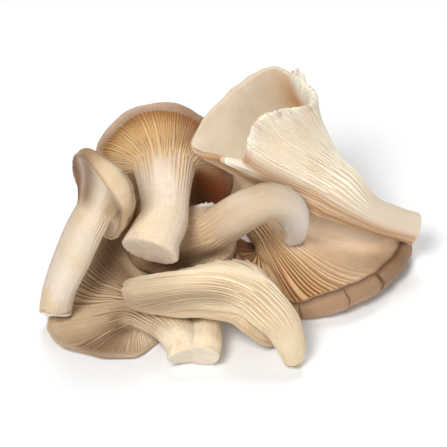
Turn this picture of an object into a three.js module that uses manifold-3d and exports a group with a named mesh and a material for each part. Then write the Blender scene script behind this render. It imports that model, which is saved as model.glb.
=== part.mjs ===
// Oyster mushroom cluster: a loose heap of seven oyster mushrooms resting on a table.
// Millimetres, +Z up, the table top at z = 0, the viewer on the -Y side.
//
// Every mushroom is one grown piece, so its stem, gilled underside and cap top are one closed skin.
// The skin is a grid: rows run from the cut end of the stem to the middle of the cap top, columns run
// once round. The front left mushroom has a smaller one grown to it at the foot, joined into one solid.
import * as THREE from 'three';
import Module from 'manifold-3d';

// Driving dimensions.
const COLUMNS = 40; // points round each row
const GILL_HEIGHT = 1.3; // crest to valley of a gill ridge
const GILL_FADE = 0.88; // part of the way to the margin where the gills start to flatten
const GILL_ROOM = 20; // width from stem to margin under which the gills get lower
const UNDER_ROWS = [0.15, 0.32, 0.5, 0.68, 0.85, 1]; // stem head (0) to margin (1)
const LIP_ROWS = [0.33, 0.67]; // round the margin, underside (0) to top (1)
const TOP_ROWS = [0, 0.22, 0.45, 0.7, 0.88]; // margin (0) to the middle of the cap top (1)
const HEAP_MIDDLE = new THREE.Vector3(2.5, 20.3, 0); // moved to the origin at the end

// stem: rings from the cut end to the head: centre x, y, z, half width toward face, half width across.
// rim: the cap's margin once round, with its thickness there where that changes. crown: the middle of
// the cap's top. face: the side of the stem from which the first column starts. capUp: the way the
// cap's top looks. flare: how far the gills go on along the stem before they spread. curl: how far the
// margin rolls back to the gills. reach: how flat the cap is near its margin. edge and roll: usual
// thickness and bulge of the margin. swell: dome of the cap's top. spread: flatness round the crown.
// decurrent: the place on the stem where the gills run out.
const LEFT = {
  stem: [[-81, -4, 9, 7.5, 7], [-78, -4, 24, 7.8, 7.5], [-72, -1, 39, 8.8, 8.5], [-66, 3, 52, 9, 8.5],
    [-62, 7, 59, 8.5, 8.5]],
  rim: [[-52, 10, 41, 2.5], [-50, -1, 66, 3.5], [-53.5, -6, 80, 7.5], [-58.5, -7, 89, 8],
    [-62, -4, 95.5, 6], [-66, 3, 95, 4], [-70, 14, 83, 3], [-71, 22, 69, 3], [-68, 27, 51, 3],
    [-63, 26, 36, 3], [-56, 14, 35, 3.5]],
  crown: [-45, 9, 71], face: [0.35, -0.2, -0.9], capUp: [0.85, 0.2, 0.5],
  flare: 0.2, curl: 0.25, reach: 0.35, edge: 3, roll: 2.5, swell: 5, spread: 0.45, decurrent: 0.45,
};
const CENTRE = {
  stem: [[-36, -3, 44, 11, 13.5], [-33.5, 4, 47, 11.5, 12], [-30, 13, 49, 11.3, 11.3],
    [-29.5, 26, 51, 10.5, 11.5], [-30, 44, 55, 12, 14.5]],
  rim: [[-32, 52, 84], [-46, 48, 82], [-57, 42, 72], [-60, 41, 56], [-56, 47, 28], [-46, 55, 7],
    [-29, 59, 2], [-11, 56, 11], [-2, 50, 33], [-1, 48, 51], [-7, 52, 68], [-18, 55, 78]],
  crown: [-29, 66, 38], face: [0, 0, 1], capUp: [0, 1, 0.1],
  flare: 0.15, curl: 0.5, reach: 0.35, edge: 4, roll: 3, swell: 2, spread: 0.5, decurrent: 0.5,
};
const FUNNEL = {
  stem: [[90, 41, 21, 8.3, 7.5], [81, 40, 25, 7.8, 7.5], [66, 38.5, 34, 9.2, 8.8],
    [52, 43, 46, 13.5, 11.5]],
  rim: [[-17, 43, 68], [-10, 53, 79], [4, 63, 88], [18, 73, 92], [28, 73, 91], [35, 63, 91],
    [40, 47, 90], [27, 35, 96], [16, 30, 95], [11, 29, 85], [7, 31, 69], [-6, 38, 66]],
  crown: [38, 50, 68], face: [-1, 0, 0.3], capUp: [-0.5, 0, 0.85],
  flare: 0.3, curl: -0.5, reach: 0.42, edge: 2.5, roll: 1.5, swell: 2, spread: 0.3, decurrent: 0.3,
};
const ARCH = {
  stem: [[32, 34, 21, 4.5, 5.5], [32, 31, 31, 6, 6.5], [29, 27, 45, 8, 8], [21, 23, 53, 9.2, 9],
    [11, 21, 51, 9.2, 9], [3, 21, 45, 9.5, 9.5], [-5, 22, 37, 10, 10]],
  rim: [[-45, 18, 22], [-40, 14, 20], [-30, 12, 18], [-18, 12, 19], [-8, 14, 20], [2, 22, 22],
    [3, 35, 26], [-4, 36, 37], [-11, 33, 42], [-23, 32, 39], [-35, 26, 34], [-43, 20, 28]],
  crown: [-17, 38, 22], face: [0, -1, 0.3], capUp: [0.1, 1, -0.5],
  flare: 0.2, curl: 0.3, reach: 0.35, edge: 3, roll: 2, swell: 2, spread: 0.4, decurrent: 0.4,
};
const FRONT_LEFT = {
  stem: [[-18, -34, 7, 7, 10], [-19.5, -28, 9.5, 7.5, 9.5], [-28, -19, 13, 7.5, 9],
    [-37, -12, 15, 7.5, 9.5]],
  rim: [[-66, 24, 16], [-77, 6, 6], [-83, -7, 4], [-78, -20, 5], [-62, -27, 4], [-43, -27, 4],
    [-34, -16, 2.5], [-29, -5, 4], [-26, 6, 8.5], [-31, 17, 11], [-50, 29.5, 19], [-59, 31, 25]],
  crown: [-57, -2, -2], face: [0, 0, 1], capUp: [0, 0, -1],
  flare: 0.25, curl: 0.5, reach: 0.35, edge: 2.5, roll: 2, swell: 1, spread: 0.5, decurrent: 0.3,
};
const SIBLING = {
  stem: [[-11.5, -34, 6.5, 6.8, 6.5], [-10.5, -27, 8, 8, 7.5], [-11.5, -15, 8, 8, 7],
    [-15, -4, 9, 7.5, 6]],
  rim: [[-27, 3, 8], [-24, 2, 12], [-15, 1, 14], [-6, 2, 12], [-3, 4, 8], [-6, 5, 4], [-15, 5, 2],
    [-24, 4, 4]],
  crown: [-15, 8, 8], face: [-1, 0, 0], capUp: [0, 1, 0.2],
  flare: 0.2, curl: 0.3, reach: 0.35, edge: 2.5, roll: 2, swell: 2, spread: 0.4, decurrent: 0.4,
};
const FRONT_ARCH = {
  stem: [[30.5, -33, 3, 4.2, 4.6], [28.5, -30, 12, 5.8, 7], [24, -25, 20, 7.5, 9], [16, -20, 27, 8, 10]],
  rim: [[-47, -9, 29], [-46.5, -16, 28], [-43, -22, 27], [-30, -24, 25], [-12, -24, 25], [3, -25, 21],
    [17, -25, 8], [24, -17, 3], [27, -9, 8], [22, -2, 23], [9, 3, 33], [-11, 2, 32], [-32, -2, 29],
    [-44, -4, 29]],
  crown: [8, -9, 13], face: [0, -0.6, 0.8], capUp: [0, 0.5, -0.85],
  flare: 0.35, curl: 0.2, reach: 0.35, edge: 2.5, roll: 1.5, swell: 0.5, spread: 0.4, decurrent: 0.2,
};
const LOW_RIGHT = {
  stem: [[3, 74, 26, 8, 8], [6, 66, 22, 8, 8], [11, 57, 18, 8, 8.5], [20, 43, 15, 8, 8.5]],
  rim: [[57, 7, 14, 10], [43, 2, 12, 11], [31, 1, 9, 9], [21, 10, 14, 7], [12, 25, 16, 4],
    [12, 37, 11, 3], [17, 46, 3, 3], [28, 56, 8, 4], [42, 64, 16, 9], [62, 65, 13, 10],
    [78, 58, 11, 10], [84, 41, 13, 10], [74, 21, 14, 10]],
  crown: [50, 28, -1], face: [-0.2, 0, 1], capUp: [0, 0, -1],
  flare: 0.2, curl: 0.5, reach: 0.35, edge: 10.5, roll: 3.5, swell: -2, spread: 0.5, decurrent: 0.1,
};

// A vector from its three coordinates.
function vector(coordinates) {
  return new THREE.Vector3(coordinates[0], coordinates[1], coordinates[2]);
}

// A smooth curve through the listed points.
function curve(points, closed) {
  return new THREE.CatmullRomCurve3(points, closed, 'catmullrom', 0.5);
}

// a + b * amount, as a new vector.
function moved(a, b, amount) {
  return a.clone().addScaledVector(b, amount);
}

// The part of a that is square to the unit vector axis, made one long.
function squareTo(a, axis) {
  return moved(a, axis, -a.dot(axis)).normalize();
}

// The stem's centre line cut into short steps, each with its direction and a sideways direction that is
// carried down from the head without twisting.
function stemFrames(form) {
  const steps = 60;
  const line = curve(form.stem.map(vector), false);
  const points = [];
  for (let k = 0; k < steps; k += 1) {
    points.push(line.getPoint(k / (steps - 1)));
  }
  const frames = points.map((point, k) => {
    const before = points[Math.max(k - 1, 0)];
    const after = points[Math.min(k + 1, steps - 1)];
    return { along: after.clone().sub(before).normalize(), side: null };
  });
  frames[steps - 1].side = squareTo(vector(form.face).normalize(), frames[steps - 1].along);
  for (let k = steps - 2; k >= 0; k -= 1) {
    frames[k].side = squareTo(frames[k + 1].side, frames[k].along);
  }
  return frames;
}

// One elliptical row round the stem at place t, 0 at the cut end and 1 at the head.
function stemRow(form, frames, wind, t) {
  const centre = curve(form.stem.map(vector), false).getPoint(t);
  const widths = form.stem.map((ring) => new THREE.Vector3(ring[3], ring[4], 0));
  const width = curve(widths, false).getPoint(t);
  const place = t * (frames.length - 1);
  const low = frames[Math.floor(place)];
  const high = frames[Math.min(Math.floor(place) + 1, frames.length - 1)];
  const part = place - Math.floor(place);
  const along = low.along.clone().lerp(high.along, part).normalize();
  const side = low.side.clone().lerp(high.side, part).normalize();
  const across = along.clone().cross(side).multiplyScalar(wind);
  const row = [];
  for (let j = 0; j < COLUMNS; j += 1) {
    const angle = (2 * Math.PI * j) / COLUMNS;
    const point = moved(centre, side, width.x * Math.cos(angle));
    row.push(point.addScaledVector(across, width.y * Math.sin(angle)));
  }
  return row;
}

// The curves that shape the cap at one column: the gilled underside from the stem head to the margin,
// the rolled margin, and the top from the margin to the crown.
function capColumn(form, start, rim, edge, tangent, axis, wind) {
  const up = vector(form.capUp).normalize();
  const crown = vector(form.crown);
  const span = rim.distanceTo(start);
  const leave = moved(start, axis, form.flare * span);
  const arrive = moved(rim.clone().sub(leave).normalize(), up, -form.curl).normalize();
  const near = moved(rim, arrive, -form.reach * span);
  const outward = arrive.clone().cross(tangent).normalize().multiplyScalar(wind);
  const topRim = moved(rim, outward, edge);
  const topNear = moved(topRim, arrive, -0.9 * form.reach * span).addScaledVector(outward, form.swell);
  const level = topRim.clone().sub(crown);
  level.addScaledVector(up, -level.dot(up));
  return {
    under: new THREE.CubicBezierCurve3(start, leave, near, rim),
    lip: (part) => {
      const turn = part * Math.PI;
      const point = moved(rim, outward, edge * 0.5 * (1 - Math.cos(turn)));
      return point.addScaledVector(arrive, form.roll * Math.sin(turn));
    },
    top: new THREE.CubicBezierCurve3(topRim, topNear, moved(crown, level, form.spread), crown),
  };
}

// All rows of one mushroom, with the strength of the gills on each row.
function mushroomRows(form) {
  const frames = stemFrames(form);
  const head = frames[frames.length - 1];
  const rimLine = curve(form.rim.map(vector), true);
  const quarter = rimLine.getPoint(0.25).sub(rimLine.getPoint(0.75));
  const wind = quarter.dot(head.along.clone().cross(head.side)) > 0 ? 1 : -1;
  const rows = [];
  const gills = [];
  const last = form.stem.length > 5 ? form.stem.length - 1 : 4;
  for (let k = 0; k <= last; k += 1) {
    const t = k / last;
    rows.push(stemRow(form, frames, wind, t));
    gills.push(Math.max(0, (t - form.decurrent) / (1 - form.decurrent)));
  }
  const start = rows[last];
  const rim = start.map((point, j) => rimLine.getPoint(j / COLUMNS));
  const edges = curve(form.rim.map((point) => new THREE.Vector3(point[3] ?? form.edge, 0, 0)), true);
  const room = rim.map((point, j) => Math.min(point.distanceTo(start[j]) / GILL_ROOM, 1));
  const caps = rim.map((point, j) => {
    const next = rim[(j + 1) % COLUMNS];
    const previous = rim[(j + COLUMNS - 1) % COLUMNS];
    const tangent = next.clone().sub(previous).normalize();
    return capColumn(form, start[j], point, edges.getPoint(j / COLUMNS).x, tangent, head.along, wind);
  });
  for (const w of UNDER_ROWS) {
    rows.push(caps.map((cap) => cap.under.getPoint(w)));
    gills.push(w > GILL_FADE ? (1 - w) / (1 - GILL_FADE) : 1);
  }
  for (const w of LIP_ROWS) {
    rows.push(caps.map((cap) => cap.lip(w)));
    gills.push(0);
  }
  for (const w of TOP_ROWS) {
    rows.push(caps.map((cap) => cap.top.getPoint(w)));
    gills.push(0);
  }
  return { rows, gills, room, wind };
}

// Outward direction of the skin at row i, column j.
function skinNormal(rows, wind, i, j) {
  const round = rows[i][(j + 1) % COLUMNS].clone().sub(rows[i][(j + COLUMNS - 1) % COLUMNS]);
  const below = rows[Math.max(i - 1, 0)][j];
  const above = rows[Math.min(i + 1, rows.length - 1)][j];
  return round.cross(above.clone().sub(below)).normalize().multiplyScalar(wind);
}

// The closed skin of one mushroom. Every second column is raised and the ones between are lowered, so
// the gills stand out as ridges that run from the stem to the margin. What would hang below the table
// is pressed flat against it.
function mushroomGeometry(form) {
  const { rows, gills, room, wind } = mushroomRows(form);
  const foot = new THREE.Vector3();
  rows[0].forEach((point) => foot.addScaledVector(point, 1 / COLUMNS));
  const skin = rows.map((row, i) => row.map((point, j) => {
    const height = (j % 2 === 0 ? 0.5 : -0.5) * GILL_HEIGHT * gills[i] * room[j];
    return moved(point, skinNormal(rows, wind, i, j), height);
  }));
  const points = [foot, ...skin.flat(), vector(form.crown)];
  const positions = points.flatMap((point) => [point.x, point.y, Math.max(point.z, 0)]);
  const top = points.length - 1;
  const at = (i, j) => 1 + i * COLUMNS + (j % COLUMNS);
  const triangles = [];
  for (let j = 0; j < COLUMNS; j += 1) {
    triangles.push([0, at(0, j + 1), at(0, j)]);
    for (let i = 0; i < rows.length - 1; i += 1) {
      triangles.push([at(i, j), at(i, j + 1), at(i + 1, j + 1)]);
      triangles.push([at(i, j), at(i + 1, j + 1), at(i + 1, j)]);
    }
    triangles.push([at(rows.length - 1, j), at(rows.length - 1, j + 1), top]);
  }
  const outward = wind > 0 ? triangles : triangles.map(([a, b, c]) => [a, c, b]);
  const geometry = new THREE.BufferGeometry();
  geometry.setAttribute('position', new THREE.Float32BufferAttribute(positions, 3));
  geometry.setIndex(outward.flat());
  geometry.translate(-HEAP_MIDDLE.x, -HEAP_MIDDLE.y, 0);
  return geometry;
}

// The solid inside a closed skin.
function solidOf(wasm, geometry) {
  const vertProperties = new Float32Array(geometry.getAttribute('position').array);
  const triVerts = new Uint32Array(geometry.getIndex().array);
  return new wasm.Manifold(new wasm.Mesh({ numProp: 3, vertProperties, triVerts }));
}

// Two skins that share some volume, joined into one.
function joined(wasm, first, second) {
  const mesh = solidOf(wasm, first).add(solidOf(wasm, second)).getMesh();
  const geometry = new THREE.BufferGeometry();
  geometry.setAttribute('position', new THREE.Float32BufferAttribute(mesh.vertProperties, 3));
  geometry.setIndex(Array.from(mesh.triVerts));
  return geometry;
}

// A named mushroom with its own matt flesh colour.
function mushroom(name, geometry, color) {
  geometry.computeVertexNormals();
  const material = new THREE.MeshStandardMaterial({ color, roughness: 0.75, metalness: 0 });
  const mesh = new THREE.Mesh(geometry, material);
  mesh.name = name;
  return mesh;
}

const wasm = await Module();
wasm.setup();

const heap = new THREE.Group();
heap.add(mushroom('mushroom_left', mushroomGeometry(LEFT), 0xd8c4a8));
heap.add(mushroom('mushroom_centre', mushroomGeometry(CENTRE), 0xe3cfae));
heap.add(mushroom('mushroom_funnel', mushroomGeometry(FUNNEL), 0xe9dcc8));
heap.add(mushroom('mushroom_arch', mushroomGeometry(ARCH), 0xe2d2b6));
const pair = joined(wasm, mushroomGeometry(FRONT_LEFT), mushroomGeometry(SIBLING));
heap.add(mushroom('mushroom_front_left_pair', pair, 0xc9b291));
heap.add(mushroom('mushroom_front_arch', mushroomGeometry(FRONT_ARCH), 0xe0cda8));
heap.add(mushroom('mushroom_low_right', mushroomGeometry(LOW_RIGHT), 0xd9bf98));

export default heap;
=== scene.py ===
import math

import bpy
import numpy as np
from mathutils import Matrix, Vector


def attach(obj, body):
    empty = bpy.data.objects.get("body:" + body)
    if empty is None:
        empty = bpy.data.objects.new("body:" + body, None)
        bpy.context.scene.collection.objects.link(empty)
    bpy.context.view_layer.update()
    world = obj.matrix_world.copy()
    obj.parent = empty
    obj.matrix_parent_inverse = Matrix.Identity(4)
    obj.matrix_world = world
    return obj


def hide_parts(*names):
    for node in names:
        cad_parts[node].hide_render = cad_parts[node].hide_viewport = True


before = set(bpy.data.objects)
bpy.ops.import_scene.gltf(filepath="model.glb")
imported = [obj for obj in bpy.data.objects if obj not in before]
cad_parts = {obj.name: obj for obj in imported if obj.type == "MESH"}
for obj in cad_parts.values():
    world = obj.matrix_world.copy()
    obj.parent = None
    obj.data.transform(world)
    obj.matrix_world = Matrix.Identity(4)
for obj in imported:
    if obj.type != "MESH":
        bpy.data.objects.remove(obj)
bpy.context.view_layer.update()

# Lengths below are in millimetres, measured from a point on the table under the heap.
MM = 0.001
HEAP_MIDDLE = np.array([2.5, 20.3, 0.0])

# The photograph was taken from forty degrees above the table, about a metre from the heap.
CAMERA_HEIGHT = math.radians(40.0)
CAMERA_DISTANCE = 1000.0
CAMERA_ASIDE = -2.133
CAMERA_RAISED = 44.79
CAMERA_LENS = 169.94
CAMERA_SENSOR = 36.0

# The skin has five stretches: cut end, stem, gilled underside, lip and top. Their rows lie at these shares
# of the way along each of them. By the two powers, rows of the underside lie closer together at the margin,
# and those of the top at the crown.
CUT_ROWS = np.array([0.3, 0.55, 0.78, 0.93, 1.0])
FOOT_ROWS = [0.012, 0.03]
LIP_ROWS = np.array([0.12, 0.27, 0.42, 0.58, 0.73, 0.88])
TOP_ROW_END = 0.985
UNDER_ROW_POWER = 1.15
TOP_ROW_POWER = 0.85
STEM_STEPS = 60

# The cut end is slightly narrower than the stem, and the top is pulled a little less than the underside.
CUT_SIZE = 0.965
TOP_PULL = 0.9

# How many columns to either side the direction of the margin is measured over.
MARGIN_STEP = 8

# Sizes of the relief, in mm: how wide and high its lumps are, and where gills have their full depth.
BROAD_LUMP = 26
SMALL_LUMP = 8
SMALL_LUMP_HEIGHT = 0.12
CUT_LUMP = 5
CUT_LUMP_HEIGHT = 0.15
FIBRE_HEIGHT = 0.06
CRACK_DEPTH = 0.9
FULL_GILL_SPAN = 20
FULL_LUMP_SPAN = 12

# How many waves go once round the skin, for each kind of unevenness.
MARGIN_WAVES = [5, 9, 14, 23]
TOOTH_WAVES = [13, 29, 47, 83, 131]
SHRED_WAVES = [5, 9, 17, 31, 53]
FIBRE_WAVES = [9, 14, 22, 31, 47]
GILL_START_WAVES = [2, 4, 7, 11]
GILL_DRIFT_WAVES = [3, 5, 8]
GILL_WOBBLE_WAVES = [13, 19, 29]
GILL_LENGTH_WAVES = [7, 19, 31]

# Colours that all the mushrooms share.
# Whitened lower stem: partly its own paler colour, partly painted light on its lit end.
PALE_FOOT_AND_LIGHT = (1.0, 0.96, 0.90)
# Painted shade under the rim: the gills next to the margin turn darker and redder.
GILL_MARGIN_SHADE = (0.36, 0.15, 0.045)
# Painted shade along the crease where the gills meet the lip.
BRINK_SHADE = (0.11, 0.055, 0.028)
CRACK_BROWN = (0.12, 0.06, 0.03)

# The table and the light, in metres where they are lengths.
TABLE_HALF = 6.0
TABLE_WHITE = (0.95, 0.95, 0.95, 1)
LIGHT_AIM = Vector((0, 0, 0.03))
SURROUND_STRENGTH = 0.1

# What a mushroom's form says:
# stem: rings from the cut end to the head, each x, y, z, half width toward the face, half width across.
# rim: points of the cap's margin, each x, y, z, and its own thickness where there is a fourth number.
# crown: the middle of the cap's top. cap_up: the way the top looks.
# face: the side of the stem that the first margin point lies on.
# flare: how far the gills follow the stem's direction before they spread, as a share of their length.
# curl: how far the margin bends towards the gilled side, or below 0 towards the top.
# reach: how far the skin keeps its direction next to the margin, as a share of the gills' length.
# edge: how thick the margin is, in mm. roll: how far it bulges, in mm.
# swell: how far the top rises behind the margin, in mm. spread: how flat the top is round the crown.
# decurrent: about how far up the stem the gills begin, as a share of its length.
#
# What it may say besides, with USUAL where it doesn't. A place round the cap is a share of the way round
# the margin from its first point; entries that have one give its middle and its half width first.
# dark: painted shade on stem, gills and lip, where they lie in shadow: place, amount, and how far out it
# starts, below 0 if it starts on the stem. shade_on_top: the same painted shade on the top, counted from the
# margin inwards.
# torn: ragged margin: place, length of the teeth in mm.
# splay: how far the margin's teeth and waves lean towards the gilled side.
# faint: gills worn nearly smooth: place, amount.
# running: gills that begin lower on the stem: place, how much lower.
# cracks: splits in the skin: place, where they start on the lip and where they end on the top.
# wavy: height of the margin's waves in mm. lumpy: height of the broad lumps in mm.
# frayed: length of the shreds at the cut end in mm.
# crust: how far round the lip the cap's colour starts. fill: how high the short gills are.
USUAL = {
    "dark": [], "shade_on_top": [], "torn": [], "faint": [], "running": [], "cracks": [],
    "splay": 0.0, "wavy": 0.25, "lumpy": 0.4, "frayed": 0.15, "crust": 0.65, "fill": 1.0,
}
LEFT = {
    "stem": [
        (-81, -5.5, 7.5, 7.5, 7), (-80.6, -3.8, 10.5, 7.5, 7), (-78, -4, 24, 7.8, 7.5),
        (-72, -1, 39, 8.8, 8.5), (-66, 3, 52, 9, 8.5), (-62, 7, 59, 8.5, 8.5),
    ],
    "rim": [
        (-53, 9, 44, 3), (-48.5, -2, 66, 5), (-50, -6, 77, 8.5), (-54.5, -7, 86.5, 9.5), (-59.5, -4, 93, 7.5),
        (-65.5, 3, 95, 5), (-70, 14, 83, 3), (-71, 22, 69, 3), (-68, 27, 51, 3), (-63, 26, 38, 3),
        (-58, 14, 40, 3.5),
    ],
    "crown": (-45, 9, 71), "face": (0.35, -0.2, -0.9), "cap_up": (0.85, 0.2, 0.5),
    "flare": 0.2, "curl": 0.25, "reach": 0.35, "edge": 3, "roll": 2.5, "swell": 5, "spread": 0.45,
    "decurrent": 0.45, "wavy": 0.1, "lumpy": 0.2,
    "dark": [(0.56, 0.10, 1.0, -0.15), (0.43, 0.08, 0.82, -0.1), (0.08, 0.06, 0.5, 0.3)],
    "faint": [(0.42, 0.2, 0.9)],
}
CENTRE = {
    "stem": [
        (-36, -3, 44, 11, 13.5), (-33.5, 4, 47, 11.5, 12), (-30, 13, 49, 11.3, 11.3),
        (-29.5, 26, 51, 10.5, 11.5), (-30, 44, 55, 12, 14.5),
    ],
    "rim": [
        (-32, 52, 84.8), (-46, 48, 82.6), (-57.5, 42, 72), (-60, 41, 56), (-57, 46, 26), (-51, 53, 6),
        (-29, 59, 2), (-11, 56, 11), (-2, 50, 33), (-1, 48, 51), (-7, 52, 68.5), (-18, 55, 78.5),
    ],
    "crown": (-29, 66, 38), "face": (0, 0, 1), "cap_up": (0, 1, 0.1),
    "flare": 0.15, "curl": 0.5, "reach": 0.35, "edge": 3.2, "roll": 2.4, "swell": 2, "spread": 0.5,
    "decurrent": 0.75, "crust": 0.4, "wavy": 0.12, "lumpy": 0.2,
    "dark": [(0.66, 0.12, 1.0, -0.15), (0.90, 0.07, 0.45, 0.1), (0.34, 0.10, 0.5, -0.15)],
    "running": [(0.88, 0.06, 0.4), (0.30, 0.06, 0.15)],
}
FUNNEL = {
    "stem": [
        (90, 41, 21, 8.3, 7.5), (81, 40, 25, 7.8, 7.5), (66, 38.5, 33, 9.4, 9), (51, 42, 43.5, 14.5, 12),
    ],
    "rim": [
        (-17, 43, 68), (-10, 53, 79), (4, 63, 88), (18, 73, 92), (28, 73, 91), (35, 63, 91),
        (40, 47, 90), (27, 35, 96), (16, 30, 95), (11, 29, 85), (7, 31, 69), (-6, 38, 66),
    ],
    "crown": (38, 50, 68), "face": (-1, 0, 0.3), "cap_up": (-0.5, 0, 0.85),
    "flare": 0.3, "curl": -0.5, "reach": 0.42, "edge": 2.5, "roll": 1.5, "swell": 2, "spread": 0.3,
    "decurrent": 0.3, "splay": 0.7, "wavy": 0.2,
    "torn": [(0.44, 0.08, 3.4), (0.62, 0.09, 1.3), (0.75, 0.05, 1.0), (0.86, 0.03, 2.8)],
    "shade_on_top": [(0.33, 0.10, 0.9, -0.2), (0.86, 0.10, 0.55, 0.2), (0.5, 0.6, 0.25, 0.4)],
    "dark": [(0.835, 0.045, 0.75, -0.6), (0.91, 0.07, 0.9, -0.6)],
}
ARCH = {
    "stem": [
        (32, 34, 21, 4.5, 5.5), (32, 31, 31, 6, 6.5), (29, 27, 45, 8, 8), (21, 23, 53, 9.2, 9),
        (11, 21, 51, 9.2, 9), (3, 21, 45, 9.5, 9.5), (-5, 22, 37, 10, 10),
    ],
    "rim": [
        (-45, 18, 22), (-40, 14, 20), (-30, 12, 18), (-18, 12, 19), (-8, 14, 20), (2, 22, 22),
        (3, 35, 26), (-4, 36, 37), (-11, 33, 42), (-23, 32, 39), (-35, 26, 34), (-43, 20, 28),
    ],
    "crown": (-17, 38, 22), "face": (0, -1, 0.3), "cap_up": (0.1, 1, -0.5),
    "flare": 0.2, "curl": 0.3, "reach": 0.35, "edge": 3, "roll": 2, "swell": 2, "spread": 0.4,
    "decurrent": 0.7, "frayed": 2.2,
    "dark": [(0.10, 0.12, 0.8, -0.15), (0.92, 0.07, 0.25, -0.15)],
    "torn": [(0.66, 0.05, 0.6)],
}
FRONT_LEFT = {
    "stem": [
        (-18, -34, 7, 7, 10), (-19.5, -28, 9.5, 7.5, 9.5), (-28, -19, 13, 7.5, 9), (-37, -12, 15, 7.5, 9.5),
    ],
    "rim": [
        (-66, 24, 16), (-77, 6, 6), (-83, -7, 4), (-78, -20, 5), (-62, -27, 4), (-43, -27, 4),
        (-34, -16, 2.5), (-29, -5, 4), (-26, 6, 8.5), (-31, 17, 12), (-50, 30, 23), (-59, 31, 26),
    ],
    "crown": (-57, -2, -2), "face": (0, 0, 1), "cap_up": (0, 0, -1),
    "flare": 0.25, "curl": 0.5, "reach": 0.35, "edge": 2.5, "roll": 2, "swell": 1, "spread": 0.5,
    "decurrent": 0.3,
    "dark": [(0.33, 0.07, 0.65, -0.15), (0.94, 0.08, 0.6, -0.15)],
}
SIBLING = {
    "stem": [
        (-12.3, -34, 7.5, 8.3, 7.3), (-11.5, -27, 9, 9, 8), (-12, -15, 9, 8.5, 7.5), (-15, -4, 9, 7.5, 6),
    ],
    "rim": [
        (-27, 3, 8), (-24, 2, 12), (-15, 1, 14), (-6, 2, 12), (-3, 4, 8), (-6, 5, 4), (-15, 5, 2),
        (-24, 4, 4),
    ],
    "crown": (-15, 8, 8), "face": (-1, 0, 0), "cap_up": (0, 1, 0.2),
    "flare": 0.2, "curl": 0.3, "reach": 0.35, "edge": 2.5, "roll": 2, "swell": 2, "spread": 0.4,
    "decurrent": 0.4,
}
FRONT_ARCH = {
    "stem": [
        (30.5, -33, 3, 4.2, 4.6), (28.5, -30, 12, 5.8, 7), (24, -25, 20, 7.5, 9), (16, -20, 27, 8, 10),
    ],
    "rim": [
        (-47, -9, 29), (-46.5, -16, 28), (-43, -22, 27), (-30, -24, 25), (-12, -24, 25), (3, -25, 21),
        (17, -25, 8), (24, -17, 3), (27, -9, 8), (22, -2, 23), (9, 3, 33), (-11, 2, 32), (-32, -2, 29),
        (-44, -4, 29),
    ],
    "crown": (8, -9, 13), "face": (0, -0.6, 0.8), "cap_up": (0, 0.5, -0.85),
    "flare": 0.35, "curl": 0.2, "reach": 0.35, "edge": 2.5, "roll": 1.5, "swell": 0.5, "spread": 0.4,
    "decurrent": 0.2,
    "dark": [(0.14, 0.07, 0.5, 0.0)],
    "torn": [(0.77, 0.10, 1.5), (0.0, 0.05, 0.9)],
}
LOW_RIGHT = {
    "stem": [
        (3, 74, 26, 8, 8), (6, 66, 22, 8, 8), (11, 57, 18, 8, 8.5), (20, 43, 15, 8, 8.5),
    ],
    "rim": [
        (57, 7, 14, 10), (43, 2, 12, 11), (31, 1, 9, 9), (20, 10, 14, 7), (7, 24, 17, 4),
        (5, 40, 15, 3), (14, 49, 4, 3), (28, 56, 8, 4), (42, 64, 16, 9), (62, 65, 13, 10),
        (78, 58, 11, 10), (84, 41, 13, 10), (74, 21, 14, 10),
    ],
    "crown": (50, 28, -1), "face": (-0.2, 0, 1), "cap_up": (0, 0, -1),
    "flare": 0.2, "curl": 0.5, "reach": 0.35, "edge": 10.5, "roll": 3.5, "swell": -2, "spread": 0.5,
    "decurrent": 0.1, "fill": 0.0, "wavy": 0.4,
    "faint": [(0.79, 0.22, 1.0)],
    "dark": [(0.72, 0.14, 0.65, 0.5), (0.90, 0.04, 0.4, 0.5), (0.36, 0.07, 0.9, 0.0)],
    "cracks": [(0.017, 0.0016, 0.0, 0.2), (0.142, 0.0016, 0.1, 0.2), (0.945, 0.004, 0.0, 0.2)],
}


def unit(v):
    """v divided by its length, row by row."""
    return v / np.maximum(np.linalg.norm(v, axis=-1, keepdims=True), 1e-9)


def smooth(x):
    """0 below 0, 1 above 1, and 3x^2 - 2x^3 between."""
    x = np.clip(x, 0, 1)
    return x * x * (3 - 2 * x)


def spline_step(a, b, c, d, f):
    """The Catmull-Rom cubic from b (f = 0) to c (f = 1), with a before it and d after it."""
    return 0.5 * (2 * b + (c - a) * f + (2 * a - 5 * b + 4 * c - d) * f**2 + (3 * b - a - 3 * c + d) * f**3)


def ring_spline(points, u):
    """Closed Catmull-Rom curve through the points: u runs from 0 to 1 once round."""
    p = np.asarray(points, float)
    n = len(p)
    k = np.asarray(u, float) * n
    i = np.floor(k).astype(int)
    return spline_step(p[(i - 1) % n], p[i % n], p[(i + 1) % n], p[(i + 2) % n], (k - i)[..., None])


def line_spline(points, t):
    """Open Catmull-Rom curve through the points: t runs from 0 at the first to 1 at the last."""
    p = np.asarray(points, float)
    p = np.vstack([2 * p[0] - p[1], p, 2 * p[-1] - p[-2]])
    n = len(p) - 3
    k = np.clip(np.asarray(t, float), 0, 1) * n
    i = np.minimum(np.floor(k).astype(int), n - 1)
    return spline_step(p[i], p[i + 1], p[i + 2], p[i + 3], (k - i)[..., None])


def bezier(a, b, c, d, w):
    """Cubic from a to d, pulled towards b and c, at each share w: an array of [w, u, xyz]."""
    w = np.asarray(w, float)[:, None, None]
    return (1 - w) ** 3 * a + 3 * (1 - w) ** 2 * w * b + 3 * (1 - w) * w**2 * c + w**3 * d


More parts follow.
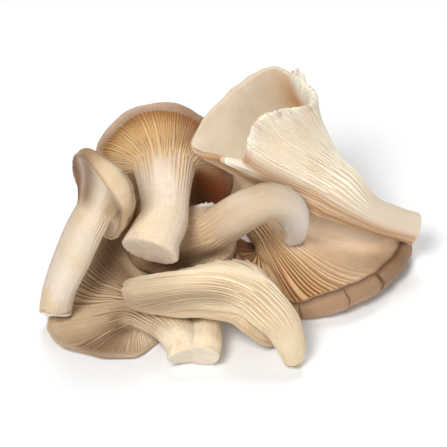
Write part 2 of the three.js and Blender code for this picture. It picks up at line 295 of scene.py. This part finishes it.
def unevenness(points, size, seed):
    """Smooth swelling between about -1 and 1 at each point: the sum of ten sine waves of about that size in
    mm, each with its own direction and start, over 1.6 times the square root of five."""
    draw = np.random.default_rng(seed)
    ways = unit(draw.normal(size=(10, 3))) * (2 * np.pi / size) * draw.uniform(0.6, 1.5, (10, 1))
    starts = draw.uniform(0, 2 * np.pi, 10)
    return np.sin(points @ ways.T + starts).sum(-1) / math.sqrt(5) / 1.6


def waves_round(u, counts, seed):
    """Waviness round a ring, between about -1 and 1: one sine for each whole number of waves in counts,
    each with a start drawn by the seed."""
    draw = np.random.default_rng(seed)
    starts = draw.uniform(0, 2 * np.pi, len(counts))
    total = sum(np.sin(2 * np.pi * n * u + s) for n, s in zip(counts, starts))
    return total / math.sqrt(len(counts))


def gill_blades(u, w, gills, seed, fill):
    """Height, 0 to 1, of the gills at place u round the cap and share w of the way from stem to margin.
    Each gill is a raised cosine to a power, so that it is a thin blade with a wider valley. Full gills
    start at the stem, as many again half way between them about a tenth of the way out, and twice as many
    short ones, fill times as high, about a third of the way out, so that the spacing stays even as the cap
    widens."""
    wobble = waves_round(u + 0.015 * w, GILL_WOBBLE_WAVES, seed + 1) * 0.1
    place = u * gills + (waves_round(u, GILL_DRIFT_WAVES, seed) * 0.2 + wobble)
    long_blade = (0.5 + 0.5 * np.cos(2 * np.pi * place)) ** (1.4 + 4.6 * smooth(w / 0.6))
    middle = (0.5 + 0.5 * np.cos(2 * np.pi * (place + 0.5))) ** (2.4 + 3.6 * smooth(w / 0.6))
    short = (0.5 + 0.5 * np.cos(2 * np.pi * (2 * place + 0.5))) ** 2.6
    start = 0.04 * waves_round(u, GILL_LENGTH_WAVES, seed + 2)
    middle = middle * smooth((w - 0.08 + start) / 0.12)
    short = short * smooth((w - 0.3 + 2 * start) / 0.2)
    return np.maximum(np.maximum(long_blade, 0.92 * middle), 0.85 * fill * short)


def stem_frames(form):
    """For sixty places along the stem: its direction, and the side that faces the first margin point, which
    is carried down from the head without twisting."""
    stem = np.asarray(form["stem"], float)
    middle = line_spline(stem[:, :3], np.linspace(0, 1, STEM_STEPS))
    along = unit(np.gradient(middle, axis=0))
    side = unit(np.asarray(form["face"], float))
    sides = [unit(side - along[-1] * (side @ along[-1]))]
    for k in range(STEM_STEPS - 2, -1, -1):
        sides.append(unit(sides[-1] - along[k] * (sides[-1] @ along[k])))
    return along, np.array(sides[::-1])


def stem_rings(form, t, u, along, sides, wind):
    """Ellipses across the stem at shares t of its length: centre + width cos(2 pi u) to the faced side
    + width sin(2 pi u) across it, an array of [t, u, xyz]."""
    rings = line_spline(form["stem"], t)
    k = np.clip(t * (STEM_STEPS - 1), 0, STEM_STEPS - 1)
    low = np.floor(k).astype(int)
    high = np.minimum(low + 1, STEM_STEPS - 1)
    f = (k - low)[:, None]
    toward = unit(sides[low] * (1 - f) + sides[high] * f)
    axis = unit(along[low] * (1 - f) + along[high] * f)
    across = np.cross(axis, toward) * wind
    angle = 2 * np.pi * u[None, :, None]
    wide = rings[:, 3, None, None] * np.cos(angle) * toward[:, None]
    deep = rings[:, 4, None, None] * np.sin(angle) * across[:, None]
    return rings[:, None, :3] + wide + deep


def bell(place, middle, half):
    """1 at the middle of a stretch round the cap, falling off as a bell of that half width."""
    away = (place - middle + 0.5) % 1 - 0.5
    return np.exp(-((away / half) ** 2))


def ragged_edge(form, place, near, seed):
    """How far the skin is drawn out past the margin, in mm: a slight wave all round, and teeth over each
    torn stretch. Teeth are the distance of a sum of sines from its zero, so they are sharp in the notches.
    Both fade away from the margin, the teeth sooner, by the cube. Returns that and how torn the skin is,
    0 to 1."""
    out = form["wavy"] * waves_round(place, MARGIN_WAVES, seed) * near
    torn = np.zeros_like(place)
    for spot, half, length in form["torn"]:
        inside = smooth(1.6 * bell(place, spot, half) - 0.3)
        teeth = np.abs(waves_round(place, TOOTH_WAVES, seed + 5)) - 0.35
        out = out + inside * length * teeth * near**3
        torn = np.maximum(torn, inside * near)
    return out, torn


def painted_shade_round(parts, place, out, shaded):
    """How much painted shade the skin takes, 0 to 1, where it can take it at all: each dark part fades as a
    bell round the cap, and grows smoothly from its start along out."""
    dark = np.zeros_like(place)
    for spot, half, amount, start in parts:
        dark = np.maximum(dark, amount * bell(place, spot, half) * smooth((out - start) / 0.45))
    return dark * shaded


def cap_rows(form, u, head, axis, wind, under_count, top_count):
    """The rows from the stem's head to the crown. The underside is a cubic that leaves the head along the
    stem, the lip half an ellipse, edge thick and roll deep, and the top a cubic from behind the lip to the
    crown. Returns the rows and their shares, and for each column the way in which the underside arrives at
    the margin, the way out of the top there, and the distance from head to margin."""
    rim = ring_spline([q[:3] for q in form["rim"]], u)
    edge = ring_spline([[q[3] if len(q) > 3 else form["edge"]] for q in form["rim"]], u)
    top_way = unit(np.asarray(form["cap_up"], float))
    crown = np.asarray(form["crown"], float)

    span = np.linalg.norm(rim - head, axis=1, keepdims=True)
    rise = head + axis * form["flare"] * span
    arrive = unit(unit(rim - rise) - top_way * form["curl"])
    turn = unit(np.roll(rim, -MARGIN_STEP, 0) - np.roll(rim, MARGIN_STEP, 0))
    outward = unit(np.cross(arrive, turn)) * wind
    under_w = 1 - (1 - np.linspace(0, 1, under_count + 1)[1:]) ** UNDER_ROW_POWER
    under = bezier(head, rise, rim - arrive * form["reach"] * span, rim, under_w)

    half_turn = LIP_ROWS[:, None, None] * np.pi
    lip = rim + outward * edge * 0.5 * (1 - np.cos(half_turn)) + arrive * form["roll"] * np.sin(half_turn)

    top_w = np.linspace(0, TOP_ROW_END, top_count) ** TOP_ROW_POWER
    start = rim + outward * edge
    pull = start - arrive * form["reach"] * span * TOP_PULL + outward * form["swell"]
    flat = start - crown
    flat = flat - (flat @ top_way)[:, None] * top_way
    top = bezier(start, pull, crown + flat * form["spread"], np.broadcast_to(crown, rim.shape), top_w)
    return [under, lip, top], [under_w, LIP_ROWS, top_w], arrive, outward, span[:, 0]


def gill_strength(form, place, share, is_stem, is_under, seed):
    """How far the gills stand out, 0 to 1: fully on the underside until they fade close to the margin, and
    fading down the stem to a height that varies round it."""
    low_start = form["decurrent"] + 0.08 + 0.1 * waves_round(place, GILL_START_WAVES, seed)
    for spot, half, amount in form["running"]:
        low_start = low_start - amount * bell(place, spot, half)
    strength = np.where(is_under, smooth((1 - share) / 0.06), 0.0)
    return np.where(is_stem, smooth((share - low_start) / (1.05 - low_start)), strength)


def gill_room(form, u, span):
    """The part of the gills' depth that each column has: less where the cap is narrow or the gills faint."""
    room = np.minimum(span / FULL_GILL_SPAN, 1)
    for spot, half, amount in form["faint"]:
        room = room * (1 - amount * smooth(1.8 * bell(u, spot, half) - 0.3))
    return room


def cracks_round(form, place, share, is_lip, is_top):
    """How deep the skin is split, 0 to 1: narrow bells round the cap, which wander as a sine on their way
    over the lip and the top."""
    crack = np.zeros_like(place)
    for spot, half, first, last in form["cracks"]:
        wander = place + 0.002 * np.sin(14 * share + 40 * spot)
        behind = is_lip * smooth((share - first) / 0.1) + is_top * smooth((last - share) / 0.1)
        crack = np.maximum(crack, bell(wander, spot, half) * behind)
    return crack


def skin(form, columns, gills, seed, depth, rows):
    """The whole skin of a mushroom as rows of points, from the middle of the cut end up the stem, out along
    the gills to the margin, round it and back over the cap to the crown. The margin's teeth and the shreds
    of the cut end draw the skin out; gills, fibres, lumps and cracks are then added along the normal.
    Returns the points, the two end points, the winding, and what the colouring needs to know at each
    point."""
    stem_count, under_count, top_count = rows
    u = np.arange(columns) / columns
    along, sides = stem_frames(form)
    margin = [q[:3] for q in form["rim"]]
    quarter = ring_spline(margin, [0.25])[0] - ring_spline(margin, [0.75])[0]
    wind = 1.0 if quarter @ np.cross(along[-1], sides[-1]) > 0 else -1.0

    stem_t = np.concatenate([FOOT_ROWS, np.linspace(0, 1, stem_count + 1)[1:]])
    foot = stem_rings(form, np.array([0.0]), u, along, sides, wind)[0]
    middle = foot.mean(0)
    cut = middle + (foot - middle) * (CUT_ROWS * CUT_SIZE)[:, None, None]
    stem = stem_rings(form, stem_t, u, along, sides, wind)
    cap, cap_shares, arrive, outward, span = cap_rows(
        form, u, stem[-1], along[-1], wind, under_count, top_count,
    )

    stretches = [cut, stem, *cap]
    grid = np.concatenate(stretches)
    zone = np.repeat(np.arange(5), [len(part) for part in stretches])[:, None] * np.ones(columns)
    share = np.concatenate([CUT_ROWS, stem_t, *cap_shares])[:, None] * np.ones(columns)
    place = np.ones(len(grid))[:, None] * u
    is_cut, is_stem, is_under, is_lip, is_top = (zone == k for k in range(5))

    near_on_top = np.where(is_lip, 1.0, is_top * smooth(1 - share / 0.3))
    near = np.where(is_under, smooth((share - 0.72) / 0.28), near_on_top)
    stretch, torn = ragged_edge(form, place, near, seed)
    grid = grid + (arrive - outward * form["splay"]) * stretch[..., None]
    at_foot = np.where(is_stem, smooth(1 - share / 0.12), is_cut * smooth((share - 0.6) / 0.4))
    shreds = np.abs(waves_round(place, SHRED_WAVES, seed + 6)) - 0.3
    grid = grid - along[0] * (form["frayed"] * shreds * at_foot)[..., None]
    across_u = np.roll(grid, -1, 1) - np.roll(grid, 1, 1)
    along_v = np.gradient(grid, axis=0)
    normal = unit(np.cross(across_u, along_v)) * wind

    out = np.where(is_under, share, 0.0)
    room = gill_room(form, u, span)
    strength = gill_strength(form, place, share, is_stem, is_under, seed + 3)
    blades = gill_blades(place, out, gills, seed + 7, form["fill"])
    ground = 0.5 + 0.5 * smooth(out / 0.3)
    fibre = waves_round(place, FIBRE_WAVES, seed + 4) * (1 - strength) * is_stem
    crack = cracks_round(form, place, share, is_lip, is_top)
    lift = strength * room * depth * ground * (blades - 0.5)
    lift = lift + FIBRE_HEIGHT * fibre
    lift = lift + unevenness(grid, BROAD_LUMP, seed + 9) * form["lumpy"] * smooth(span / FULL_LUMP_SPAN)
    lift = lift + unevenness(grid, SMALL_LUMP, seed + 10) * SMALL_LUMP_HEIGHT
    lift = lift + np.where(is_cut, unevenness(grid, CUT_LUMP, seed + 11) * CUT_LUMP_HEIGHT, 0.0)
    lift = lift - CRACK_DEPTH * crack
    grid = grid + normal * lift[..., None]

    over_edge = is_lip * smooth((share - form["crust"]) / 0.35)
    as_far_out = np.where(is_lip, 1.0, out)
    facts = {
        "gill_height": np.clip(blades * strength, 0, 1),
        "gilled": strength * room,
        "cap_top": np.where(is_top, 1.0, over_edge),
        "margin": np.where(is_lip, 1 - over_edge, smooth((out - 0.95) / 0.05) * is_under),
        "brink": np.where(is_lip, smooth(1 - share / 0.25), smooth((out - 0.97) / 0.03) * is_under),
        "cut_end": np.where(is_cut, 1.0, np.where(is_stem, smooth(1 - share / 0.03), 0.0)),
        "outward": out,
        "up_stem": np.where(is_stem, share, np.where(is_cut, 0.0, 1.0)),
        # Painted shade on the parts of stem, gills, lip and top that lie in shadow.
        "painted_shade": np.maximum(
            painted_shade_round(form["dark"], place, as_far_out, is_under + is_stem + 0.9 * is_lip),
            painted_shade_round(form["shade_on_top"], place, share, is_top),
        ),
        "torn": torn,
        "crack": crack,
    }
    return grid, middle, np.asarray(form["crown"], float), wind, facts


def mushroom_piece(name, form, node, material, columns, gills, seed, depth=1.0, rows=(16, 26, 14)):
    """A finished mushroom: the skin's points joined in quads, with a fan of triangles at the cut end and
    another at the crown. The underside of the heap is pressed flat where it meets the table. Each fact
    about the skin becomes an attribute, and the two end points take its mean over the nearest row."""
    grid, middle, crown, wind, facts = skin({**USUAL, **form}, columns, gills, seed, depth, rows)
    lines, count = grid.shape[0], grid.shape[1]
    points = np.vstack([middle[None], grid.reshape(-1, 3), crown[None]]) - HEAP_MIDDLE
    points[:, 2] = np.maximum(points[:, 2], 0)
    index = 1 + np.arange(lines * count).reshape(lines, count)
    after = np.roll(index, -1, 1)
    quads = np.stack([index[:-1], after[:-1], after[1:], index[1:]], -1).reshape(-1, 4)
    first = np.stack([np.zeros(count, int), after[0], index[0]], 1)
    last = np.stack([index[-1], after[-1], np.full(count, 1 + lines * count)], 1)
    if wind < 0:
        quads, first, last = quads[:, ::-1], first[:, ::-1], last[:, ::-1]
    corners = np.concatenate([quads.ravel(), first.ravel(), last.ravel()]).astype(np.int32)
    starts = np.concatenate([
        np.arange(len(quads)) * 4,
        len(quads) * 4 + np.arange(2 * count) * 3,
    ]).astype(np.int32)

    mesh = bpy.data.meshes.new(name)
    mesh.vertices.add(len(points))
    mesh.vertices.foreach_set("co", (points * MM).astype(np.float32).ravel())
    mesh.loops.add(len(corners))
    mesh.loops.foreach_set("vertex_index", corners)
    mesh.polygons.add(len(starts))
    mesh.polygons.foreach_set("loop_start", starts)
    mesh.polygons.foreach_set("use_smooth", np.ones(len(starts), dtype=bool))
    mesh.update(calc_edges=True)
    mesh.validate()
    for fact, values in facts.items():
        layer = mesh.attributes.new(fact, "FLOAT", "POINT")
        whole = np.concatenate([[values[0].mean()], values.ravel(), [values[-1].mean()]])
        layer.data.foreach_set("value", whole.astype(np.float32))
    mesh.materials.append(material)
    piece = bpy.data.objects.new(name, mesh)
    bpy.context.scene.collection.objects.link(piece)
    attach(piece, "root")
    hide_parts(node)
    return piece


class Paint:
    """Adds the nodes of one material, with short names for the few kinds that mushroom skin needs."""

    def __init__(self, name):
        self.material = bpy.data.materials.new(name)
        self.material.use_nodes = True
        self.nodes = self.material.node_tree.nodes
        self.links = self.material.node_tree.links
        self.shader = self.nodes["Principled BSDF"]

    def fact(self, name):
        """What the skin knows of itself at a point, by that name."""
        node = self.nodes.new("ShaderNodeAttribute")
        node.attribute_type = "GEOMETRY"
        node.attribute_name = name
        return node.outputs["Fac"]

    def feed(self, slot, value):
        """Gives an input its value: a socket, a number, or a colour of three numbers."""
        if isinstance(value, tuple):
            slot.default_value = (*value, 1)
        elif isinstance(value, (int, float)):
            slot.default_value = value
        else:
            self.links.new(value, slot)

    def mottle(self, size, detail=4.0):
        """Cloudy noise whose patches are about size mm across."""
        place = self.nodes.new("ShaderNodeTexCoord").outputs["Object"]
        node = self.nodes.new("ShaderNodeTexNoise")
        node.inputs["Scale"].default_value = 1 / (size * MM)
        node.inputs["Detail"].default_value = detail
        node.inputs["Roughness"].default_value = 0.6
        self.links.new(place, node.inputs["Vector"])
        return node.outputs["Fac"]

    def reckon(self, kind, a, b):
        """a and b put together by that kind of arithmetic; each is a socket or a number."""
        node = self.nodes.new("ShaderNodeMath")
        node.operation = kind
        self.feed(node.inputs[0], a)
        self.feed(node.inputs[1], b)
        return node.outputs[0]

    def stretch_to(self, value, low, high, to_low=0.0, to_high=1.0):
        """value, moved from the span low to high onto the span to_low to to_high, smoothly and clamped."""
        node = self.nodes.new("ShaderNodeMapRange")
        node.interpolation_type = "SMOOTHSTEP"
        self.links.new(value, node.inputs["Value"])
        node.inputs["From Min"].default_value = low
        node.inputs["From Max"].default_value = high
        node.inputs["To Min"].default_value = to_low
        node.inputs["To Max"].default_value = to_high
        return node.outputs["Result"]

    def blend(self, share, a, b):
        """Colour a turned into colour b by share; each colour is a socket or three numbers."""
        node = self.nodes.new("ShaderNodeMix")
        node.data_type = "RGBA"
        self.feed(node.inputs["Factor"], share)
        self.feed(node.inputs[6], a)
        self.feed(node.inputs[7], b)
        return node.outputs[2]


def mushroom_skin(name, stem, ridge, valley, cap, rim, cut, blush, margin_shade=0.2, line=0.0, white=0.0, root=0.6,
                  painted_shade=(0.16, 0.07, 0.028)):
    """Oyster mushroom flesh: a stem with patches of blush, gills with pale ridges and valleys painted darker
    as shade between the blades, a cap mottled with rim's colour, which its margin band has too, and a cut
    end, all with fine grain and a little light passing through. margin_shade is how far the gills are painted
    darker and redder next to the margin as shade under the rim, line how dark the thin painted shade line in
    the crease along the margin is, white how far the lower stem is whitened, partly its own paler colour and
    partly painted light where its end is lit, root how dark the valleys are next to the stem, and
    painted_shade the colour of the painted shade on the parts that lie in shadow."""
    paint = Paint(name)
    patches = paint.mottle(22)
    cloud = paint.mottle(7, detail=5)
    grain = paint.mottle(1.4, detail=3)
    height = paint.fact("gill_height")
    gilled = paint.fact("gilled")
    outward = paint.fact("outward")

    flesh = paint.blend(paint.stretch_to(patches, 0.4, 0.66), stem, blush)
    flesh = paint.blend(paint.stretch_to(cloud, 0.5, 0.75, 0.0, 0.12), flesh, valley)
    # The lower stem whitened: partly its own paler colour, partly painted light.
    flesh = paint.blend(paint.stretch_to(paint.fact("up_stem"), 0.2, 0.6, white, 0.0), flesh, PALE_FOOT_AND_LIGHT)
    # Gill valleys painted darker: painted shade between the blades, paler next to the stem.
    deep = paint.blend(paint.stretch_to(outward, 0.1, 0.8, root, 1.0), flesh, valley)
    gill_colour = paint.blend(paint.stretch_to(height, 0.1, 0.75), deep, ridge)
    tone = paint.blend(gilled, flesh, gill_colour)
    # Painted shade under the rim, darker and redder towards the margin.
    near_margin = paint.reckon("MULTIPLY", gilled, paint.stretch_to(outward, 0.6, 0.97, 0.0, margin_shade))
    tone = paint.blend(near_margin, tone, GILL_MARGIN_SHADE)

    cap_colour = paint.blend(paint.stretch_to(cloud, 0.38, 0.68, 0.0, 0.55), cap, rim)
    band = paint.reckon("MULTIPLY", paint.fact("margin"), paint.stretch_to(patches, 0.3, 0.6, 0.8, 1.0))
    tone = paint.blend(band, tone, rim)
    tone = paint.blend(paint.fact("cap_top"), tone, cap_colour)
    # Painted shade over the parts that lie in shadow.
    tone = paint.blend(paint.fact("painted_shade"), tone, painted_shade)
    # Painted shade: a thin dark line in the crease along the margin.
    if line > 0:
        tone = paint.blend(paint.reckon("MULTIPLY", paint.fact("brink"), line), tone, BRINK_SHADE)
    tone = paint.blend(paint.fact("cut_end"), tone, cut)
    tone = paint.blend(paint.fact("torn"), tone, cut)
    tone = paint.blend(paint.fact("crack"), tone, CRACK_BROWN)
    tone = paint.blend(paint.stretch_to(grain, 0.35, 0.7, 0.0, 0.1), tone, valley)

    shader = paint.shader
    paint.links.new(tone, shader.inputs["Base Color"])
    paint.links.new(paint.stretch_to(cloud, 0.3, 0.7, 0.47, 0.67), shader.inputs["Roughness"])
    shader.inputs["Specular IOR Level"].default_value = 0.35
    shader.inputs["Subsurface Weight"].default_value = 0.22
    shader.inputs["Subsurface Radius"].default_value = (1.0, 0.62, 0.38)
    shader.inputs["Subsurface Scale"].default_value = 0.0035

    fine = paint.reckon("ADD", paint.reckon("MULTIPLY", grain, 0.6), paint.mottle(0.5, detail=2))
    bump = paint.nodes.new("ShaderNodeBump")
    bump.inputs["Strength"].default_value = 0.35
    bump.inputs["Distance"].default_value = 0.0004
    paint.links.new(fine, bump.inputs["Height"])
    paint.links.new(bump.outputs["Normal"], shader.inputs["Normal"])
    return paint.material


def white_table():
    """A pale matt table top, wide enough to fill the picture."""
    mesh = bpy.data.meshes.new("table_top")
    half = TABLE_HALF
    corners = [(-half, -half, 0), (half, -half, 0), (half, half, 0), (-half, half, 0)]
    mesh.from_pydata(corners, [], [(0, 1, 2, 3)])
    table = bpy.data.objects.new("table_top", mesh)
    bpy.context.scene.collection.objects.link(table)
    matt = bpy.data.materials.new("white_table")
    matt.use_nodes = True
    shader = matt.node_tree.nodes["Principled BSDF"]
    shader.inputs["Base Color"].default_value = TABLE_WHITE
    shader.inputs["Roughness"].default_value = 0.9
    mesh.materials.append(matt)


def soft_light(name, where, size, watts):
    """A square studio light at that place, in metres, aimed at the heap."""
    data = bpy.data.lights.new(name, "AREA")
    data.shape = "SQUARE"
    data.size = size
    data.energy = watts
    lamp = bpy.data.objects.new(name, data)
    lamp.location = where
    aim = LIGHT_AIM - Vector(where)
    lamp.rotation_mode = "QUATERNION"
    lamp.rotation_quaternion = aim.to_track_quat("-Z", "Y")
    bpy.context.scene.collection.objects.link(lamp)


def photo_camera():
    """The camera of the photograph, which looks from the front of the table down on the heap."""
    data = bpy.data.cameras.new("photo_camera")
    data.sensor_width = CAMERA_SENSOR
    data.lens = CAMERA_LENS
    data.clip_start = 0.05
    data.clip_end = 30.0
    camera = bpy.data.objects.new("photo_camera", data)
    back = np.array([0, -math.cos(CAMERA_HEIGHT), math.sin(CAMERA_HEIGHT)])
    right = np.array([1.0, 0, 0])
    up = np.cross(back, right)
    eye = (right * CAMERA_ASIDE + up * CAMERA_RAISED + back * CAMERA_DISTANCE - HEAP_MIDDLE) * MM
    turn = Matrix((right, up, back)).transposed().to_4x4()
    camera.matrix_world = Matrix.Translation(eye) @ turn
    bpy.context.scene.collection.objects.link(camera)
    bpy.context.scene.camera = camera


def studio():
    """An even white surround, so that shadows stay soft."""
    world = bpy.data.worlds.new("studio")
    bpy.context.scene.world = world
    world.use_nodes = True
    surround = world.node_tree.nodes["Background"]
    surround.inputs["Color"].default_value = (1, 1, 1, 1)
    surround.inputs["Strength"].default_value = SURROUND_STRENGTH
    bpy.context.scene.view_settings.view_transform = "Standard"


# The flesh of each mushroom.
left_skin = mushroom_skin(
    "left_skin", stem=(0.78, 0.68, 0.56), ridge=(0.74, 0.57, 0.37), valley=(0.44, 0.24, 0.10),
    cap=(0.44, 0.31, 0.20), rim=(0.76, 0.58, 0.37), cut=(0.84, 0.76, 0.66), blush=(0.74, 0.59, 0.39),
    line=0.6, painted_shade=(0.17, 0.065, 0.018),
)
centre_skin = mushroom_skin(
    "centre_skin", stem=(0.80, 0.68, 0.55), ridge=(0.79, 0.54, 0.26), valley=(0.26, 0.10, 0.025),
    cap=(0.18, 0.12, 0.08), rim=(0.46, 0.33, 0.225), cut=(0.64, 0.53, 0.41), blush=(0.76, 0.62, 0.44),
    margin_shade=0.8, root=0.4, painted_shade=(0.20, 0.05, 0.012),
)
funnel_skin = mushroom_skin(
    "funnel_skin", stem=(0.72, 0.62, 0.50), ridge=(0.97, 0.89, 0.73), valley=(0.76, 0.56, 0.34),
    cap=(0.71, 0.61, 0.47), rim=(0.62, 0.51, 0.38), cut=(0.90, 0.82, 0.69), blush=(0.73, 0.60, 0.46),
    root=0.3, painted_shade=(0.44, 0.22, 0.08),
)
arch_skin = mushroom_skin(
    "arch_skin", stem=(0.68, 0.57, 0.44), ridge=(0.76, 0.57, 0.36), valley=(0.56, 0.35, 0.18),
    cap=(0.44, 0.29, 0.17), rim=(0.34, 0.20, 0.11), cut=(0.92, 0.87, 0.79), blush=(0.66, 0.51, 0.35),
    white=0.9,
)
front_left_skin = mushroom_skin(
    "front_left_skin", stem=(0.90, 0.77, 0.56), ridge=(0.68, 0.50, 0.32), valley=(0.18, 0.095, 0.045),
    cap=(0.48, 0.35, 0.24), rim=(0.56, 0.42, 0.28), cut=(0.77, 0.68, 0.56), blush=(0.74, 0.56, 0.36),
    root=0.85,
)
front_arch_skin = mushroom_skin(
    "front_arch_skin", stem=(0.82, 0.68, 0.48), ridge=(0.86, 0.72, 0.51), valley=(0.50, 0.32, 0.17),
    cap=(0.58, 0.44, 0.27), rim=(0.58, 0.44, 0.28), cut=(0.64, 0.51, 0.35), blush=(0.74, 0.60, 0.40),
)
low_right_skin = mushroom_skin(
    "low_right_skin", stem=(0.82, 0.63, 0.44), ridge=(0.84, 0.58, 0.31), valley=(0.30, 0.12, 0.035),
    cap=(0.38, 0.235, 0.135), rim=(0.40, 0.245, 0.14), cut=(0.86, 0.74, 0.60), blush=(0.76, 0.54, 0.34),
    line=0.9,
)

# The heap. There are at least twenty-four columns to a full gill, so that the thin blades stay smooth.
mushroom_piece(
    "left_mushroom", LEFT, "mushroom_left", left_skin,
    columns=768, gills=32, seed=11, depth=1.4,
)
mushroom_piece(
    "centre_mushroom", CENTRE, "mushroom_centre", centre_skin,
    columns=1152, gills=36, seed=23,
)
mushroom_piece(
    "funnel_mushroom", FUNNEL, "mushroom_funnel", funnel_skin,
    columns=1088, gills=34, seed=37,
)
mushroom_piece(
    "arch_mushroom", ARCH, "mushroom_arch", arch_skin,
    columns=624, gills=26, seed=41, depth=0.5,
)
mushroom_piece(
    "front_left_mushroom", FRONT_LEFT, "mushroom_front_left_pair", front_left_skin,
    columns=952, gills=34, seed=53, depth=1.4,
)
mushroom_piece(
    "front_left_sibling", SIBLING, "mushroom_front_left_pair", front_left_skin,
    columns=384, gills=16, seed=59, depth=0.6, rows=(14, 10, 8),
)
mushroom_piece(
    "front_arch_mushroom", FRONT_ARCH, "mushroom_front_arch", front_arch_skin,
    columns=784, gills=28, seed=61,
)
mushroom_piece(
    "low_right_mushroom", LOW_RIGHT, "mushroom_low_right", low_right_skin,
    columns=896, gills=32, seed=71, depth=1.5,
)

white_table()
soft_light("key_light", (-0.4, -0.7, 1.1), size=0.5, watts=13.6)
soft_light("back_light", (0.05, 0.8, 1.2), size=0.7, watts=10.2)
soft_light("fill_light", (0.9, -0.6, 0.7), size=0.7, watts=1.6)
soft_light("front_light", (0.35, -1.15, 0.55), size=0.6, watts=3.4)
photo_camera()
studio()
